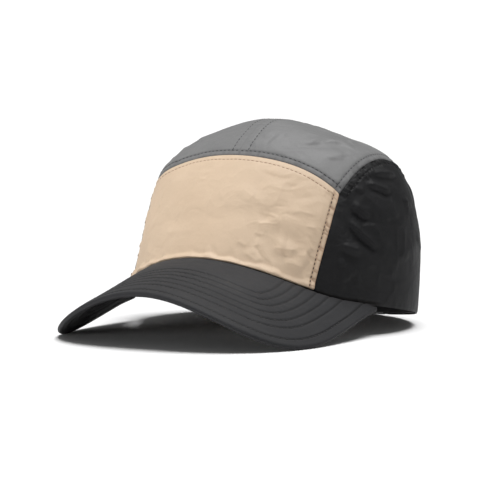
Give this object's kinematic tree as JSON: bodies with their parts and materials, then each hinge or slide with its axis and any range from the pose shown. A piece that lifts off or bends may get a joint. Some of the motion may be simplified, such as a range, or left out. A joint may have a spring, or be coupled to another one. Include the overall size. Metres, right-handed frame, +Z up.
{
  "type": "five panel cap",
  "caption": "Soft low-crown cap with a broad front panel, split top strip, two side panels, curved peak, inner sweatband and rear strap with slide.",
  "frame": {"origin": "centre of the bottom of the bounding box, on the surface that the cap lies on", "axes": "+Z up, the peak points to -Y and the wearer's left is +X"},
  "size_m": [0.1872, 0.2546, 0.1314],
  "materials": {
    "beige_cloth": "crinkled light nylon",
    "grey_cloth": "crinkled light nylon",
    "black_cloth": "crinkled light nylon with a soft sheen",
    "charcoal_cloth": "matt cloth over a stiff board, stitched in rows",
    "band_cloth": "matt cotton",
    "webbing": "woven webbing",
    "black_plastic": "satin moulded plastic"
  },
  "bodies": {
    "root": {"front_panel": "beige_cloth", "top_panel_left": "grey_cloth", "top_panel_right": "grey_cloth", "side_panel_left": "black_cloth", "side_panel_right": "black_cloth", "peak": "charcoal_cloth", "sweatband": "band_cloth", "rear_strap": "webbing", "strap_slide": "black_plastic"}
  },
  "joints": []
}
